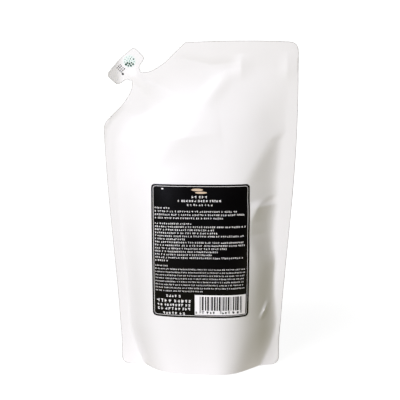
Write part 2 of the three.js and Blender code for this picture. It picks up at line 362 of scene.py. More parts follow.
# The tab's tip curls forward: its slope, where that starts, and over what lengths it sets in.
TAB_CURL = 0.62
TAB_CURL_START = 59.5 * MM
TAB_CURL_WIDTH = 5 * MM
TAB_HINGE = 3 * MM
# The welded fin at the right foot bends back.
FIN_BEND = 5.5 * MM
FIN_SIDE = (44 * MM, 66 * MM)
FIN_HEIGHTS = (75 * MM, 5 * MM)


def flex(s, x, z):
    """Bends of the flat film at the top, of the tab and of the right foot."""
    high = smooth(z, s.height - TOP_FOLDS_REACH, s.height - s.top)
    curl = TAB_CURL * ramp_area(-x, TAB_CURL_START, TAB_CURL_WIDTH)
    on_tab = smooth(-inside_cut(s, x, z), s.neck - TAB_HINGE, s.neck + TAB_HINGE)
    fin = FIN_BEND * smooth(x, *FIN_SIDE) * smooth(z, *FIN_HEIGHTS)
    return fin - creases(x, z, TOP_FOLDS) * high - crease(x, z, LEFT_SHOULDER) - curl * on_tab


def sway(s, x, z):
    """How far the middle of the film stands in front of or behind the middle plane."""
    up = clamp(z / s.height)
    curve = s.curl * (2 * x / s.width) ** 2 * up**3
    return curve - s.twist * (2 * x / s.width) * (1 - up) ** 2 + flex(s, x, z)


# Folds and dents of each film

# A soft ridge runs down from the top seal.
RIDGE_PATH = ((29.5, 242), (5, 211))
RIDGE_RISE = 1.6 * MM
RIDGE_RADIUS = 6
RIDGE_END = 0.05
LOWER_FOLD = Fold(
    ((57, 137), (53, 135.3), (45.1, 130.7), (40.5, 121.3), (38.2, 116.7)), 4.5, 6, 0.4
)
FRONT_FOLDS = (
    Fold(((-84, 181), (-50, 177), (16, 186)), left=30, right=22, rise=1.7),
    LOWER_FOLD,
    Fold(((53, 54), (46.5, 40)), left=3, right=2.5, rise=1.7),
)
FRONT_DENTS = (Dent((-40, 202), radius=11, depth=1.5), Dent((56, 193), radius=12, depth=0.8))
# Two leaves of the right flank fall back steeply, one above the other.
UPPER_FLANK = Flank(
    left=(
        (33.6, 140), (35, 147), (39, 154), (42, 158.7), (45, 163.4), (48.1, 168), (51.2, 172.7),
        (53.5, 178), (59.6, 183), (62.4, 187),
    ),
    right=(
        (59.6, 135), (58, 142), (57.8, 158), (58.5, 163.4), (60, 168), (61.5, 173), (62.4, 178),
        (63, 187),
    ),
    soft=4,
    top=(188, 179),
    bottom=(128, 134),
)
UPPER_SLOPE = 0.26
UPPER_FOOT = 6
LOWER_FLANK = Flank(
    left=(
        (44, 50), (44, 90), (36, 107), (38.2, 116.7), (40.5, 121.3), (42.8, 126), (45.1, 130.7),
        (53, 135.3), (57, 137),
    ),
    right=(
        (48, 20), (51.4, 45), (54.5, 57.5), (55.2, 64), (55.2, 82), (54, 95), (53, 101),
        (53.4, 107), (53.4, 117), (54.5, 121.3), (57, 126), (60, 130.7), (61, 135.3), (61, 137),
    ),
    soft=2.5,
    top=(138, 131),
    bottom=(15, 60),
)
# The lower leaf is gentle below and steep above these heights.
LOWER_SLOPE = 0.06
LOWER_SLOPE_GAIN = 0.36
LOWER_FOOT = 3
LOWER_STEEPENS = (82, 98)
# The front film stands out a little at the foot, between the seals.
FOOT_PUSH = 2.6 * MM
FOOT_PUSH_HEIGHT = 30 * MM
FOOT_PUSH_SIDE = (52 * MM, 42 * MM)
BACK_FOLDS = (
    Fold(((-60, 170), (-40, 120)), left=12, right=5, rise=-1.6),
    Fold(((62, 190), (38, 150)), left=6, right=14, rise=-1.8),
)
BACK_DENT = Dent((-8, 214), radius=20, depth=1.6)
# Folds fade out where the films lie about this close. The least room keeps a division sound.
FOLD_ROOM = 1.6 * MM
LEAST_ROOM = 0.05 * MM


def ridge(x, z):
    away, share = beside_path(x, z, RIDGE_PATH)
    along = np.sin(np.pi * clamp(share * (1 - 2 * RIDGE_END) + RIDGE_END)) ** 0.5
    return RIDGE_RISE * np.exp(-((away / RIDGE_RADIUS) ** 2)) * along


def front_relief(x, z):
    """Folds and dents of the front film, as the photo shows them."""
    steep = smooth(z / MM, *LOWER_STEEPENS)
    relief = ridge(x, z) + creases(x, z, FRONT_FOLDS)
    relief -= sum(dimple(x, z, dent) for dent in FRONT_DENTS)
    relief -= wall(x, z, UPPER_FLANK, UPPER_SLOPE, UPPER_FOOT)
    slope = LOWER_SLOPE + LOWER_SLOPE_GAIN * steep
    relief -= wall(x, z, LOWER_FLANK, slope, LOWER_FOOT * (1 + steep))
    low = clamp(1 - z / FOOT_PUSH_HEIGHT) ** 2
    return relief + FOOT_PUSH * low * smooth(np.abs(x), *FOOT_PUSH_SIDE)


def back_relief(x, z):
    """Plain folds of the back film."""
    return creases(x, z, BACK_FOLDS) - dimple(x, z, BACK_DENT)


def film_depth(s, x, z, relief):
    """Distance of a film from the middle, with its relief and never through the other film."""
    free = half_depth(s, x, z) * lean(s, x, z) - s.weld / 2
    loose = 1 - np.exp(-free / FOLD_ROOM)
    pressed = free * np.exp(np.minimum(relief, 0) / np.maximum(free, LEAST_ROOM))
    return s.weld / 2 + np.maximum(pressed, 0) + np.maximum(relief, 0) * loose


def front_y(s, x, z):
    return sway(s, x, z) - film_depth(s, x, z, front_relief(x, z))


def back_y(s, x, z):
    return sway(s, x, z) + film_depth(s, x, z, back_relief(x, z))


# Outline of the film

NECK_ROOT = 24 * MM
NECK_WAIST = 1.6 * MM
TEAR_NOTCH = 1.3 * MM
TAB_SHOULDER = 4.2 * MM
TAB_ROUNDING = 3.2 * MM
TAB_CROWN = 0.8 * MM
SHOULDER_ROUNDING = 6 * MM
TOP_RIGHT_RISE = 0.4 * MM
SIDE_POINTS = 90
TOP_POINTS = 30
CORNER_STEPS = 6
SHORTEST = 0.05 * MM
# Shares of the mesh step: points nearer than these to a neighbour are left out.
LEAST_SHARE = 0.25
CLEAR_SHARE = 0.62


def quad(start, control, end, count=8):
    """Points of a curve from start to end that leans towards its control point."""
    t = np.linspace(0, 1, count + 1)[:, None]
    a, b, c = (np.array(p, float) for p in (start, control, end))
    return list((1 - t) ** 2 * a + 2 * t * (1 - t) * b + t * t * c)


def spout_place(s, out, aside):
    """Where a place of the spout lies, given outward from the tear line and sideways."""
    away = (out + s.neck) * DIAGONAL
    up = (aside - SPOUT_ASIDE) * DIAGONAL
    return np.array(((s.cut - s.width) / 2 - away + up, s.height - s.cut / 2 + away + up))


def spout_side(s, side):
    """One side of the neck and tab, from the cut corner to the crown."""
    neck, tab = s.neck_width / 2, s.tab_width / 2
    root = (-s.neck, NECK_ROOT)
    waist = (NECK_WAIST - s.neck, neck + TAB_ROUNDING)
    halfway = (TAB_SHOULDER, (neck + tab) / 2)
    points = quad(root, waist, (-TEAR_NOTCH, neck), 12)
    points += [(0, neck - TEAR_NOTCH), (TEAR_NOTCH, neck)]
    points += quad((TEAR_NOTCH, neck), (TAB_SHOULDER, neck), halfway, 6)
    points += quad(halfway, (TAB_SHOULDER + TAB_CROWN, tab), (TAB_SHOULDER + TAB_ROUNDING, tab), 6)
    end = s.tab_length - TAB_CROWN
    points += quad((end - TAB_ROUNDING, tab), (end, tab), (end, tab - TAB_ROUNDING), 6)
    return [spout_place(s, p[0], side * p[1]) for p in points]


def pouch_side(s, low, top, sign):
    heights = np.linspace(low, top, SIDE_POINTS)
    return [np.array((sign * float(half_width(s, np.array(z))), z)) for z in heights]


def pouch_outline(s):
    """The outline of the film, anticlockwise from the left end of the foot."""
    foot = float(half_width(s, np.array(0.0)))
    high, edge = s.height, s.width / 2
    cut_foot = high - s.cut
    slope = SHOULDER_ROUNDING * DIAGONAL

    points = [np.array((-foot + s.corner, 0.0)), np.array((foot - s.corner, 0.0))]
    right = pouch_side(s, s.corner, high - s.corner, 1)
    points += quad(points[-1], (foot, 0), right[0]) + right
    top_right = (edge - s.corner, high + TOP_RIGHT_RISE)
    points += quad(right[-1], (edge, high), top_right)
    cut_top = (s.cut - edge, high)
    top_middle = (cut_top[0] / 2 + top_right[0] / 2, high + 2 * s.bow)
    points += quad(top_right, top_middle, cut_top, TOP_POINTS)
    lower_side = spout_side(s, -1)
    points += spout_side(s, 1)
    points += quad(points[-1], spout_place(s, s.tab_length + TAB_CROWN, 0), lower_side[-1])
    points += lower_side[::-1]
    shoulder = np.array((slope - edge, cut_foot + slope))
    points.append(shoulder)
    left = pouch_side(s, s.corner, cut_foot - SHOULDER_ROUNDING, -1)[::-1]
    points += quad(shoulder, (-edge, cut_foot), left[0]) + left
    points += quad(left[-1], (-foot, 0), points[0])
    return spaced(points, s.step)


def spaced(points, step):
    """The closed line with its points at most a step apart and none doubled."""
    result = []
    for a, b in zip(points, points[1:] + points[:1]):
        run = float(np.hypot(*(np.array(b) - a)))
        if run < SHORTEST:
            continue
        count = max(1, math.ceil(run / step))
        result += [np.array(a) + (np.array(b) - a) * i / count for i in range(count)]
    merged = [result[0]]
    for p in result[1:]:
        if np.hypot(*(p - merged[-1])) > LEAST_SHARE * step:
            merged.append(p)
    return merged


def along(path, step):
    """Points along an open line that is given in millimetres, less than a step apart."""
    points = np.array(path, float) * MM
    result = []
    for a, b in zip(points, points[1:]):
        count = max(1, math.ceil(float(np.hypot(*(b - a))) / step))
        result += [a + (b - a) * (i + 0.5) / count for i in range(count)]
    return result


def round_box(left, right, low, high, radius, step):
    """The outline of a box with round corners, anticlockwise."""
    points = []
    for x, z, turn in ((right, low, -90), (right, high, 0), (left, high, 90), (left, low, 180)):
        cx = x - math.copysign(radius, x - (left + right) / 2)
        cz = z - math.copysign(radius, z - (low + high) / 2)
        for i in range(CORNER_STEPS + 1):
            angle = math.radians(turn + 90 * i / CORNER_STEPS)
            points.append(np.array((cx + radius * math.cos(angle), cz + radius * math.sin(angle))))
    return spaced(points, step)


def inward_normals(loop):
    """Unit vectors that point into an anticlockwise loop at each of its points."""
    run = np.roll(loop, -1, axis=0) - np.roll(loop, 1, axis=0)
    run /= np.hypot(run[:, 0], run[:, 1])[:, None]
    return np.stack((-run[:, 1], run[:, 0]), 1)


def filled(outline, step, line=()):
    """Points and triangles that fill an outline, with points on the given line.

    The third value says which of the points stands for each point of the outline.
    """
    fixed = [tuple(p) for p in outline] + [tuple(p) for p in line]
    tree = kdtree.KDTree(len(fixed))
    for i, p in enumerate(fixed):
        tree.insert((p[0], p[1], 0), i)
    tree.balance()
    low, high = np.min(outline, axis=0), np.max(outline, axis=0)
    rise = step * math.sqrt(0.75)
    inner = []
    for row in range(int((high[1] - low[1]) / rise) + 1):
        z = low[1] + (row + 0.5) * rise
        for column in range(int((high[0] - low[0]) / step) + 2):
            x = low[0] + (column + 0.5 * (row % 2)) * step
            if tree.find((x, z, 0))[2] > CLEAR_SHARE * step:
                inner.append((x, z))
    points = [Vector(p) for p in fixed + inner]
    face = list(range(len(outline)))
    made, _, triangles, origins, _, _ = delaunay_2d_cdt(points, [], [face], 1, 1e-7)
    rim = {i: k for k, came in enumerate(origins) for i in came if i < len(outline)}
    return np.array([tuple(v) for v in made]), triangles, [rim[i] for i in face]


# Meshes

SHARP_ANGLE = math.radians(38)


def new_object(name, points, faces, materials, kinds=None):
    """A smooth mesh object made of the points that its faces use."""
    used = sorted({i for face in faces for i in face})
    renumbered = {old: new for new, old in enumerate(used)}
    kept = [tuple(points[i]) for i in used]
    mesh = bpy.data.meshes.new(name)
    mesh.from_pydata(kept, [], [[renumbered[i] for i in face] for face in faces])
    mesh.validate()
    for material in materials:
        mesh.materials.append(material)
    if kinds is not None:
        mesh.polygons.foreach_set("material_index", kinds)
    mesh.polygons.foreach_set("use_smooth", [True] * len(mesh.polygons))
    mesh.update()
    obj = bpy.data.objects.new(name, mesh)
    bpy.context.scene.collection.objects.link(obj)
    return obj


def attach(obj, *nodes, slot):
    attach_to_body(obj, "root")
    if nodes:
        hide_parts(*nodes)


# Materials

# Places of the colour mix node's two colours and of its result.
MIX_A, MIX_B, MIX_RESULT = 6, 7, 2


def node(tree, kind, inputs=None, **settings):
    """Adds a shader node, sets it, and links or fills its inputs."""
    made = tree.nodes.new(kind)
    for name, value in settings.items():
        setattr(made, name, value)
    for name, value in (inputs or {}).items():
        socket = made.inputs[name]
        if isinstance(value, bpy.types.NodeSocket):
            tree.links.new(value, socket)
        elif isinstance(value, tuple) and len(value) == 3 and socket.type == "RGBA":
            socket.default_value = (*value, 1)
        else:
            socket.default_value = value
    return made


def empty_material(name):
    material = bpy.data.materials.new(name)
    material.use_nodes = True
    material.node_tree.nodes.clear()
    return material


def finish_material(name, colour, rough, grain, relief=0.0, shift=0.03, specular=0.5, spread=0.05):
    """A film, stock or ink whose tone and gloss drift over patches of the grain's size.

    Shift is the share by which its tone drops, spread how far its roughness goes either way, and
    relief the height of a finer grain.
    """
    material = empty_material(name)
    tree = material.node_tree
    colour = tuple(colour)
    place = node(tree, "ShaderNodeTexCoord").outputs["Object"]
    drift = node(
        tree, "ShaderNodeTexNoise", {"Vector": place, "Scale": 1 / grain, "Detail": 3.0}
    ).outputs["Fac"]
    darker = tuple(v * (1 - shift) for v in colour)
    tone = node(
        tree, "ShaderNodeMix", {"Factor": drift, MIX_A: darker, MIX_B: colour}, data_type="RGBA"
    )
    limits = {"Value": drift, "To Min": rough - spread, "To Max": rough + spread}
    gloss = node(tree, "ShaderNodeMapRange", limits)
    inputs = {
        "Base Color": tone.outputs[MIX_RESULT],
        "Roughness": gloss.outputs["Result"],
        "Specular IOR Level": specular,
    }
    if relief:
        fine = node(tree, "ShaderNodeTexNoise", {"Vector": place, "Scale": 3 / grain})
        inputs["Normal"] = node(
            tree, "ShaderNodeBump", {"Height": fine.outputs["Fac"], "Distance": relief}
        ).outputs["Normal"]
    shader = node(tree, "ShaderNodeBsdfPrincipled", inputs)
    node(tree, "ShaderNodeOutputMaterial", {"Surface": shader.outputs["BSDF"]})
    return material


def film_material(s):
    # Printed film over foil and polyethylene: satin, so its highlights are wide and soft.
    return finish_material(
        "Laminated film, satin white", s.film, rough=0.36, grain=20 * MM, relief=0.02 * MM
    )


def cut_edge_and_shade_material(s):
    # The foil layer shows at the knife's cut, so a thin dull grey line runs round the film. Its grey
    # is also painted shade, standing in for the shade along the film's edge.
    return finish_material(
        "Cut edge of the laminate, grey with painted shade", s.cut_and_shade_paint, rough=0.5, grain=2 * MM, shift=0.2
    )


def label_material(s):
    # Varnished plastic label: deep black with one sharp, weak glint.
    return finish_material(
        "Label stock, glossy black", s.stock, 0.2, 12 * MM, shift=0.2, specular=0.21, spread=0.04
    )


def ink_material(name, colour, grain=2 * MM, rough=0.4, shift=0.2):
    # Screen ink: a thin coat, duller than the varnish or film round it and a little patchy.
    return finish_material(name, colour, rough, grain, shift=shift)


# Film body

FILM, CUT_EDGE = 0, 1
# Height below which a point of the outline counts as standing on the floor.
ON_FLOOR = 1e-7


def build_pouch(s):
    outline = pouch_outline(s)
    flat, triangles, rim = filled(outline, s.step, along(LOWER_FOLD.path, s.step))
    x, z = flat[:, 0], flat[:, 1]
    count = len(flat)
    front = np.stack((x, front_y(s, x, z), z), 1)
    back = np.stack((x, back_y(s, x, z), z), 1)
    faces = list(triangles) + [(a + count, c + count, b + count) for a, b, c in triangles]
    kinds = [FILM] * len(faces)
    # The cut edge runs between the two films, and both draw back from it a little.
    middle = (front[rim] + back[rim]) / 2
    inward = inward_normals(flat[rim])
    above = flat[rim, 1] > ON_FLOOR
    shift = np.stack((inward[:, 0], np.zeros(len(rim)), inward[:, 1] * above), 1) * s.cut_edge
    front[rim] += shift
    back[rim] += shift
    edge = 2 * count
    foot = []
    for k, i in enumerate(rim):
        n = (k + 1) % len(rim)
        j = rim[n]
        if above[k] or above[n]:
            faces += [(j, i, edge + k, edge + n), (edge + n, edge + k, i + count, j + count)]
            kinds += [CUT_EDGE, CUT_EDGE]
        else:
            foot.append((i, j))
    under, quads = gusset(s, flat, foot, front, back, edge + len(rim))
    points = np.concatenate((front, back, middle, under))
    faces += quads
    kinds += [FILM] * len(quads)
    obj = new_object("pouch_film", points, faces, [film_material(s), cut_edge_and_shade_material(s)], kinds)
    obj.data.set_sharp_from_angle(angle=SHARP_ANGLE)
    attach(obj, "pouch", slot="film")


GUSSET_ROWS = 36
# The welded skirt's thickness, and the share of the gusset's depth over which it rises.
SKIRT_THICKNESS = 0.5 * MM
SKIRT_SHARE = 0.02
# Shares of the foot's half width between which the gusset closes, and gaps that do the same.
GUSSET_CLOSES = (0.95, 0.86)
GUSSET_GAPS = (0.2 * MM, 3 * MM)
# The gusset rises towards its ends, and its middle lies low on the floor.
GUSSET_END_RISE = 14 * MM
GUSSET_SAG = 1.5 * MM
GUSSET_LOWEST = 0.15 * MM
# The crease along its middle.
GUSSET_CREASE = 1.2 * MM
GUSSET_CREASE_SHARE = 0.05


def gusset(s, flat, foot, front, back, first):
    """The folded film under the pouch, strung between the lower edges of front and back."""
    order = [foot[0][0]] + [j for _, j in foot]
    middle = float(half_span(s, np.array(0.0)))
    made, columns = [], []
    for i in order:
        near, far = front[i, 1], back[i, 1]
        gap = far - near - 2 * SKIRT_THICKNESS
        u = flat[i, 0] / middle
        opened = float(smooth(abs(u), *GUSSET_CLOSES)) * float(smooth(gap, *GUSSET_GAPS))
        skirt = SKIRT_THICKNESS * opened
        column = [i]
        for k in range(1, GUSSET_ROWS):
            v = -math.cos(math.pi * k / GUSSET_ROWS)
            edge = min(1, (1 - abs(v)) / SKIRT_SHARE)
            z = (s.skirt + GUSSET_SAG) * v**4 + GUSSET_END_RISE * u**4 - GUSSET_SAG
            z = max(z, GUSSET_LOWEST) + GUSSET_CREASE * math.exp(-abs(v) / GUSSET_CREASE_SHARE)
            y = near + skirt + (far - near - 2 * skirt) * (v + 1) / 2
            column.append(first + len(made))
            made.append((flat[i, 0], y, z * opened * edge))
        columns.append(column + [i + len(front)])
    quads = []
    for a, b in zip(columns, columns[1:]):
        for k in range(GUSSET_ROWS):
            quads.append((a[k + 1], b[k + 1], b[k], a[k]))
    return np.array(made), quads


# Label

LABEL_STEP = 1.5 * MM
LABEL_SINK = 0.02 * MM
# Heights and widths at which the film's curve under the label is measured.
CURVE_HEIGHTS = np.linspace(0.03, 0.16, 27)
CURVE_WIDTHS = np.linspace(0, 45 * MM, 46)
CURVE_REACH = 37.5 * MM


def unrolled(s, u, z):
    """Where a point of a flat sheet lies once the sheet follows the front film sideways."""
    shares = []
    for sign in (-1, 1):
        row = []
        for height in CURVE_HEIGHTS:
            y = front_y(s, sign * CURVE_WIDTHS, np.full(CURVE_WIDTHS.shape, height))
            arc = np.concatenate(([0], np.cumsum(np.hypot(np.diff(CURVE_WIDTHS), np.diff(y)))))
            row.append(np.interp(CURVE_REACH, arc, CURVE_WIDTHS) / CURVE_REACH)
        shares.append(np.interp(z, CURVE_HEIGHTS, row))
    return u * np.where(u < 0, *shares)


def label_box(s, inset, radius):
    """The outline of the label or of a line inside its edge."""
    half, low = s.width / 2 - inset, s.bottom + inset
    return round_box(-half, half, low, s.bottom + s.height - inset, radius, LABEL_STEP)


def build_label(s, p):
    flat, triangles, rim = filled(label_box(s, 0, s.radius), LABEL_STEP)
    z = flat[:, 1]
    x = unrolled(p, flat[:, 0], z)
    base = front_y(p, x, z)
    count = len(flat)
    points = np.concatenate(
        (np.stack((x, base - s.thickness, z), 1), np.stack((x, base + LABEL_SINK, z), 1))
    )
    faces = list(triangles) + [(a + count, c + count, b + count) for a, b, c in triangles]
    faces += [(j, i, i + count, j + count) for i, j in zip(rim, rim[1:] + rim[:1])]
    obj = new_object("label_stock", points, faces, [label_material(s)])
    obj.data.set_sharp_from_angle(angle=SHARP_ANGLE)
    attach(obj, "label", slot="label")


# Print, in millimetres

# How far each layer of ink lies over the surface.
INK_LIFT = 0.04
ROUNDEL_LIFT = 0.06
OVER_LIFT = 0.08
TAB_LIFT = 0.1
BOX_STEP = 2.0
OVAL_POINTS = 18
# A mark that stands for a letter, in shares of its height: its stroke and width, the length of
# its bars and post, how many bars it has, the gap behind it, and the least room it needs.
STROKE = 0.26
MARK_WIDTH = (0.65, 0.9)
BAR_LENGTH = (0.7, 1)
POST_LENGTH = (0.8, 1)
MARK_BARS = (2, 2, 3)
MARK_GAPS = (0.3, 0.4, 0.5, 0.9)
MARK_ROOM = 0.5


class Print:
    """Flat printed areas that lie on a curved surface, given in its own two directions."""

    def __init__(self):
        self.places = []
        self.faces = []
        self.kinds = []

    def add(self, places, faces, kind):
        first = len(self.places)
        self.places += places
        self.faces += [tuple(first + i for i in face) for face in faces]
        self.kinds += [kind] * len(faces)

    def box(self, left, right, low, high, kind, lift=INK_LIFT):
        """A filled box, cut into parts so that it follows the surface."""
        columns = max(1, math.ceil((right - left) / BOX_STEP))
        rows = max(1, math.ceil((high - low) / BOX_STEP))
        places = [
            (left + (right - left) * i / columns, low + (high - low) * j / rows, lift)
            for j in range(rows + 1)
            for i in range(columns + 1)
        ]
        width = columns + 1
        faces = [
            (j * width + i, j * width + i + 1, (j + 1) * width + i + 1, (j + 1) * width + i)
            for j in range(rows)
            for i in range(columns)
        ]
        self.add(places, faces, kind)

    def oval(self, middle, size, kind, lift=INK_LIFT):
        rim = []
        for i in range(OVAL_POINTS):
            turn = math.tau * i / OVAL_POINTS
            out, up = size[0] / 2 * math.cos(turn), size[1] / 2 * math.sin(turn)
            rim.append((middle[0] + out, middle[1] + up, lift))
        fan = [(OVAL_POINTS, i, (i + 1) % OVAL_POINTS) for i in range(OVAL_POINTS)]
        self.add([*rim, (*middle, lift)], fan, kind)

    def ribbon(self, loop, width, kind, lift=INK_LIFT):
        """A line of one width along the inside of a loop."""
        inner = loop + inward_normals(loop) * width
        count = len(loop)
        places = [(*p, lift) for p in loop] + [(*p, lift) for p in inner]
        faces = [(i, (i + 1) % count, (i + 1) % count + count, i + count) for i in range(count)]
        self.add(places, faces, kind)

    def row(self, chance, left, right, low, tall, kind, lift=INK_LIFT):
        """A row of small plain marks that stands for a line of print."""
        at = left
        line = tall * STROKE
        while at < right - MARK_ROOM * tall:
            wide = tall * chance.uniform(*MARK_WIDTH)
            for _ in range(chance.choice(MARK_BARS)):
                y = low + chance.uniform(0, tall - line)
                self.box(at, at + wide * chance.uniform(*BAR_LENGTH), y, y + line, kind, lift)
            x = at + chance.uniform(0, wide - line)
            self.box(x, x + line, low, low + tall * chance.uniform(*POST_LENGTH), kind, lift)
            at += wide + tall * chance.choice(MARK_GAPS)

    def build(self, name, place, materials):
        points = place(np.array(self.places) * MM)
        return new_object(name, points, self.faces, materials, self.kinds)


# Materials of the label's print, by their place in its list. The white field's material also colours
# a painted glint.
INK, FIELD_AND_GLINT, BARS, BEIGE = range(4)
BORDER_WIDTH = 0.32
BORDER_RADIUS_SHARE = 0.6
# Distance of each block's first row below the label's top edge, the pitch and height of its rows
# and where each row ends, from the left margin.
TEXT_BLOCKS = (
    (18.6, 2.52, 1.35, (12, 64, 70.5, 53)),
    (30.4, 2.36, 1.3, (29, 70.5, 46, 49, 70.5, 24, 70.5, 70.5, 58, 49, 45, 70.5, 10)),
    (62.6, 2.40, 1.05, (10, 70.5, 70.5, 70.5, 70.5, 70.5, 70.5, 70.5, 38)),
)
TEXT_LEFT = -35.6
# Each heading's distance below the top edge, its height and its two ends.
HEADINGS = ((10.3, 1.9, -6.9, 4.9), (13.2, 1.7, -17.6, 16.5), (16.2, 1.5, -10.5, 9.5))
# Each address row's distance below the top edge, its height and half its length.
ADDRESS_ROWS = (
    (86.1, 1.9, 6.3), (90.1, 2.5, 13.8), (93.1, 2.0, 13.4), (96.0, 2.0, 13.2), (99.5, 2.0, 9.0),
)
ADDRESS_MIDDLE = -20.8
# Plain ovals: their middle from the label's middle line and top edge, their size and material. The
# two beige ones are print; the small white one near the top left corner is a painted glint.
MARK_AND_GLINT_OVALS = ((-2.6, 4.0, 9.2, 1.9, BEIGE), (0.4, 6.1, 9.2, 1.6, BEIGE), (-29.6, 3.4, 1.9, 1, FIELD_AND_GLINT))
# The barcode field's left and right edge, and its upper and lower edge below the label's top.
PANEL = (-4.6, 35.8, 84.0, 99.3)
# The bars: the width of one module, how many there are, where the guard bars stand, and the
# field's margins around them.
MODULE = 0.353
MODULES = 95
GUARDS = (0, 46, 92)
GUARD_MODULES = 4
BARS_LEFT = 3.9
BARS_MARGIN = 1.2
BARS_BOTTOM = 3.4
BAR_GAPS = (1, 2, 2, 3)
BAR_WIDTHS = (1, 2, 3, 4)
# The rows of digits below the bars: their two ends, height and margin.
DIGITS = ((-3.2, -1.0), (1.8, 14.8), (17.9, 31.0))
DIGIT_HEIGHT = 2.1
DIGIT_MARGIN = 0.8


def print_text_and_glint(sheet, top, chance):
    for start, pitch, tall, ends in TEXT_BLOCKS:
        for i, end in enumerate(ends):
            sheet.row(chance, TEXT_LEFT, TEXT_LEFT + end, top - start - i * pitch, tall, INK)
    for down, tall, left, right in HEADINGS:
        sheet.row(chance, left, right, top - down, tall, INK)
    for down, tall, half in ADDRESS_ROWS:
        left, right = ADDRESS_MIDDLE - half, ADDRESS_MIDDLE + half
        sheet.row(chance, left, right, top - down, tall, INK)
    # The last oval is no print but a painted glint.
    for across, down, wide, tall, kind in MARK_AND_GLINT_OVALS:
        sheet.oval((across, top - down), (wide, tall), kind)


def print_barcode(sheet, top, chance):
    """A barcode field whose bars are drawn by chance and stand for no number."""
    left, right, up, down = PANEL
    foot, high = top - down, top - up - BARS_MARGIN
    sheet.box(left, right, foot, top - up, FIELD_AND_GLINT)
    start = left + BARS_LEFT
    at = 0
    while at < MODULES:
        if at in GUARDS:
            for k in (0, 2):
                x = start + (at + k) * MODULE
                sheet.box(x, x + MODULE, foot + BARS_MARGIN, high, BARS, OVER_LIFT)
            at += GUARD_MODULES
            continue
        room = min([guard for guard in GUARDS if guard > at] + [MODULES]) - at
        gap = min(chance.choice(BAR_GAPS), room)
        bar = min(chance.choice(BAR_WIDTHS), room - gap)
        x = start + (at + gap) * MODULE
        if bar > 0:
            sheet.box(x, x + bar * MODULE, foot + BARS_BOTTOM, high, BARS, OVER_LIFT)
        at += gap + bar
    for first, last in DIGITS:
        low = foot + DIGIT_MARGIN
        sheet.row(chance, start + first, start + last, low, DIGIT_HEIGHT, BARS, OVER_LIFT)


def build_label_print(s, p):
    """The border, text, plain mark and barcode of the label, and a painted glint near its top left
    corner.
    """
    chance = random.Random(s.seed)
    sheet = Print()
    top = (s.bottom + s.height) / MM
    border = label_box(s, s.inset, s.radius - s.inset * BORDER_RADIUS_SHARE)
    sheet.ribbon(np.array(border) / MM, BORDER_WIDTH, INK)
    print_text_and_glint(sheet, top, chance)
    print_barcode(sheet, top, chance)
    materials = [
        ink_material("Print, pale grey", s.ink, rough=0.45, shift=0.25),
        ink_material("Print, white field and painted glint", s.panel, grain=6 * MM, shift=0.06),
        ink_material("Print, black bars", s.stock, grain=3 * MM),
        ink_material("Print, warm beige", s.accent),
    ]

    def place(spots):
        z = spots[:, 1]
        x = unrolled(p, spots[:, 0], z)
        return np.stack((x, front_y(p, x, z) - s.thickness - spots[:, 2], z), 1)

    attach(sheet.build("label_print_and_glint", place, materials), slot="label")


# Materials of the tab's print, by their place in its list.
GREEN, GREY, TINT, SOFT_GREEN, BLACK = range(5)
# The roundel's middle, measured out from the tear line and sideways, its width, and the radius
# and number of marks of each ring in it.
ROUNDEL = (11.7, 4.6)
ROUNDEL_WIDTH = 9.8
RINGS = ((3.6, 11), (2.0, 7), (0.5, 2))
RING_TURN = 0.3
# Marks past this line are large and dark, the others small and mostly pale.
DARK_SIDE = -1.2
LARGE_MARKS = (1.2, 1.9)
SMALL_MARKS = (0.6, 1.2)
DARK_CHANCE = 0.3
# The grey marks stand in a block, and one black box stands beside it.
GREY_OUT = (10.6, 12.1, 13.6, 15.1)
GREY_ASIDE = (-6.2, -4.6, -3.0)
GREY_ENDS = (-0.7, 0.8)
GREY_HEIGHT = 1.3
BLACK_BOX = (7.6, 9.2, -6.6, -5.2)


def build_tab_print(s, p):
    """Small green and grey marks on the tear-off tab."""
    chance = random.Random(s.seed + 1)
    sheet = Print()
    sheet.oval(ROUNDEL, (ROUNDEL_WIDTH, ROUNDEL_WIDTH), TINT, ROUNDEL_LIFT)
    for ring, marks in RINGS:
        for k in range(marks):
            turn = math.tau * (k + RING_TURN) / marks
            out, aside = ring * math.cos(turn), ring * math.sin(turn)
            low = out + aside < DARK_SIDE
            size = chance.uniform(*LARGE_MARKS) if low else chance.uniform(*SMALL_MARKS)
            kind = GREEN if low or chance.random() < DARK_CHANCE else SOFT_GREEN
            sheet.oval((ROUNDEL[0] + out, ROUNDEL[1] + aside), (size, size), kind, TAB_LIFT)
    for out in GREY_OUT:
        for aside in GREY_ASIDE:
            left, right = out + GREY_ENDS[0], out + GREY_ENDS[1]
            sheet.row(chance, left, right, aside, GREY_HEIGHT, GREY, TAB_LIFT)
    sheet.box(*BLACK_BOX, BLACK, TAB_LIFT)
    materials = [
        ink_material("Print, green", s.green),
        ink_material("Print, dark grey", s.grey),
        ink_material("Print, faint green tint", s.tint, grain=4 * MM, rough=0.38, shift=0.03),
        ink_material("Print, soft green", s.soft_green),
        ink_material("Print, black mark", s.stock),
    ]

    def place(spots):
        flat = np.array([spout_place(p, out, aside) for out, aside, _ in spots])
        x, z = flat[:, 0], flat[:, 1]
        return np.stack((x, front_y(p, x, z) - spots[:, 2], z), 1)

    attach(sheet.build("tab_print", place, materials), slot="film")


# Stage

# The camera's shift, in pixels of a picture this many pixels wide.
PICTURE_WIDTH = 400
SHIFT_RIGHT = -0.5
SHIFT_UP = 6.2
SENSOR_WIDTH = 36
LAMP_WIDTH = 0.8
LAMP_DISTANCE = 1.8
LAMP_AIM = Vector((0, 0, 0.13))
# Linear colours of the lamps.
COOL_LIGHT = (0.78, 0.82, 1.0)
WARM_LIGHT = (1.0, 0.94, 0.79)
WHITE = (1, 1, 1)
# Between these distances the floor the camera sees goes from this share of white to all white.
FLOOR_FADE = (0.1, 0.6)
FLOOR_LEAST = 0.8
FLOOR_GLOW = 1.15
# Between these distances the light at the foot gives way to the rest.
FOOT_BOUNCE = (0.05, 0.11)
FLOOR_REACH = 6.0


